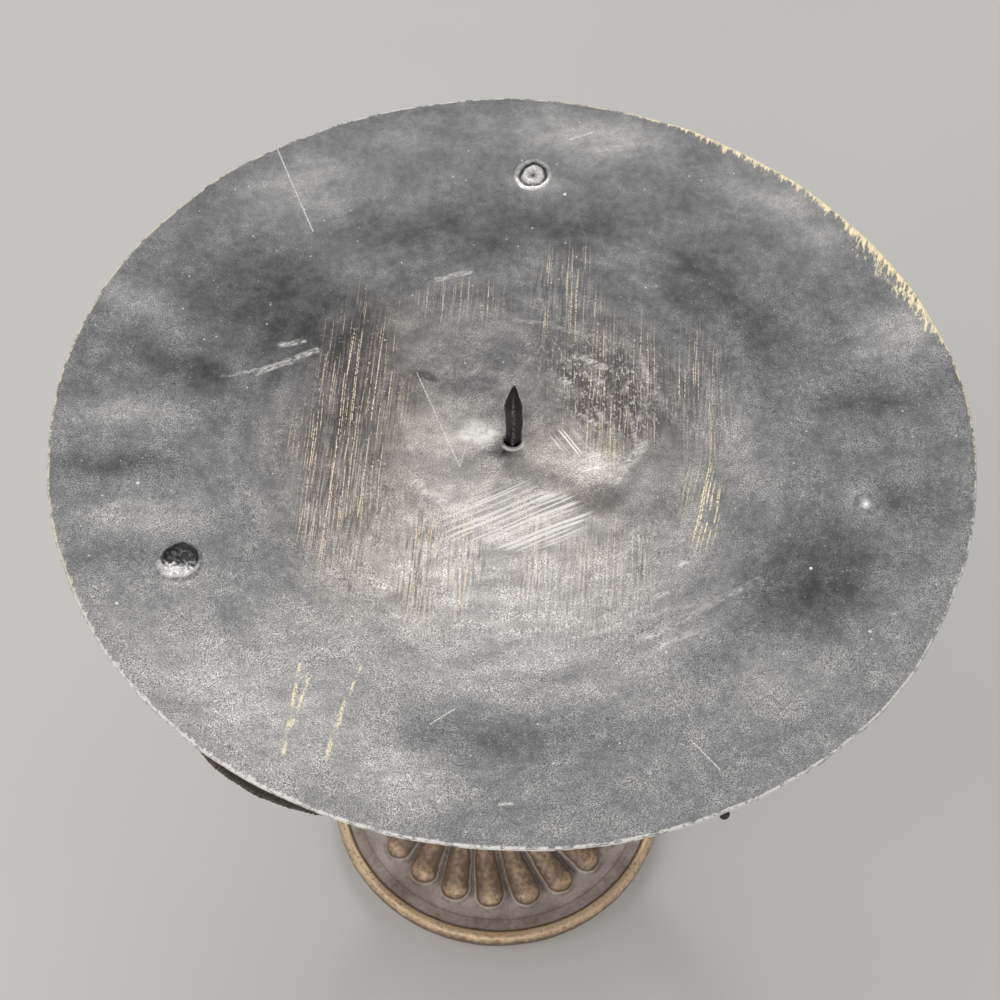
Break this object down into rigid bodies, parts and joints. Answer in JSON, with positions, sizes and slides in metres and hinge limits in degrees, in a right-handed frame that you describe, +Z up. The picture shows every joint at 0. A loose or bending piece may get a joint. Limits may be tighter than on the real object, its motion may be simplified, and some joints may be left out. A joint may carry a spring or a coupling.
{
  "type": "candle stand",
  "caption": "Pricket candle stand: dished sheet-metal drip pan with a square spike, on bowed scroll arms and a turned stem above a round foot with swirled gadroons.",
  "frame": {"origin": "centre of the stand on the surface it stands on", "axes": "+Z up along the stem and the spike; -Y towards the viewer of the picture, +X to its right"},
  "size_m": [0.254, 0.254, 0.245],
  "materials": {
    "pan_paint": "hand-rubbed satin charcoal paint, brushed with copper-gold streaks, edge worn to gold and bare metal",
    "weld_metal": "rough plug weld, painted over and worn bright on its ridges",
    "spike_black": "gloss black paint on a forged square spike",
    "arm_black": "black paint on hammered flat bar, gold-brown rub on the edges",
    "bronze_cast": "dark bronze paint on a sandy casting, gold rubbed on the raised ornament",
    "zinc_steel": "plain zinc-plated fasteners",
    "bumper_rubber": "matt black rubber"
  },
  "bodies": {
    "root": {"drip_pan": "pan_paint", "pan_weld_rear": "weld_metal", "pan_weld_left": "weld_metal", "pan_weld_right": "weld_metal", "pricket_spike": "spike_black", "scroll_arm_rear": "arm_black", "scroll_arm_left": "arm_black", "scroll_arm_right": "arm_black", "arm_hub": "bronze_cast", "neck_ring": "bronze_cast", "lower_knop": "bronze_cast", "stem_vase": "bronze_cast", "upper_ring": "bronze_cast", "pan_cup": "bronze_cast", "foot": "bronze_cast", "arm_rivets": "zinc_steel", "tie_rod": "zinc_steel", "top_nut": "zinc_steel", "top_washer": "zinc_steel", "foot_nut": "zinc_steel", "foot_washer": "zinc_steel", "foot_lock_washer": "zinc_steel", "foot_bumpers": "bumper_rubber"}
  },
  "joints": []
}
